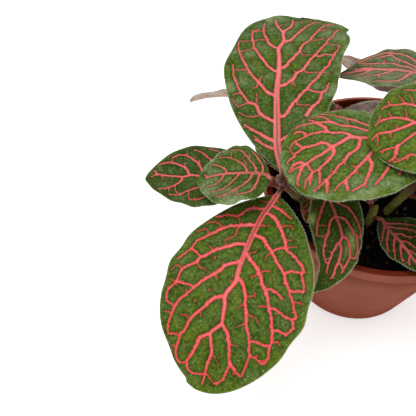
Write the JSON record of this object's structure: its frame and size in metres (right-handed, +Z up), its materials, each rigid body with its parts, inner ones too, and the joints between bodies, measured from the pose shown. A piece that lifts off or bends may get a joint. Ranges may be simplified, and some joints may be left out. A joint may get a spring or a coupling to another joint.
{
  "type": "potted nerve plant",
  "caption": "Bushy houseplant with broad oval red-veined leaves in opposite pairs on short stems, rooted in soil in a tapered round pot with a rim band and drainage holes.",
  "frame": {"origin": "centre of the pot's base, on the surface that it stands on", "axes": "+Z up along the pot's axis, -Y towards the front of the plant as pictured, +X to its right"},
  "size_m": [0.2112, 0.1919, 0.1332],
  "materials": {
    "pot": "satin",
    "soil": "matte",
    "stem": "satin",
    "leaf": "satin"
  },
  "bodies": {
    "root": {"pot": "pot", "soil": "soil", "stem_edge": "stem", "stem_far": "stem", "stem_left": "stem", "stem_middle": "stem", "stem_rear": "stem", "stem_right": "stem", "stem_shaded": "stem", "stem_short": "stem", "stem_tall": "stem", "leaf_edge_back": "leaf", "leaf_edge_front": "leaf", "leaf_edge_right": "leaf", "leaf_far_behind": "leaf", "leaf_far_front": "leaf", "leaf_far_left": "leaf", "leaf_far_right": "leaf", "leaf_left_back": "leaf", "leaf_left_front": "leaf", "leaf_left_left": "leaf", "leaf_left_left_top": "leaf", "leaf_left_low": "leaf", "leaf_left_right_top": "leaf", "leaf_middle_back": "leaf", "leaf_middle_front": "leaf", "leaf_middle_left": "leaf", "leaf_middle_right": "leaf", "leaf_rear_behind": "leaf", "leaf_rear_left": "leaf", "leaf_rear_left_far": "leaf", "leaf_rear_low_left": "leaf", "leaf_rear_right": "leaf", "leaf_right_back": "leaf", "leaf_right_front": "leaf", "leaf_right_left": "leaf", "leaf_right_right": "leaf", "leaf_shaded_behind": "leaf", "leaf_shaded_left": "leaf", "leaf_shaded_right": "leaf", "leaf_short_back": "leaf", "leaf_short_right": "leaf", "leaf_tall_back": "leaf", "leaf_tall_front": "leaf", "leaf_tall_left": "leaf", "leaf_tall_left_top": "leaf", "leaf_tall_low_back": "leaf", "leaf_tall_low_front": "leaf", "leaf_tall_right": "leaf", "leaf_tall_right_top": "leaf"}
  },
  "joints": []
}
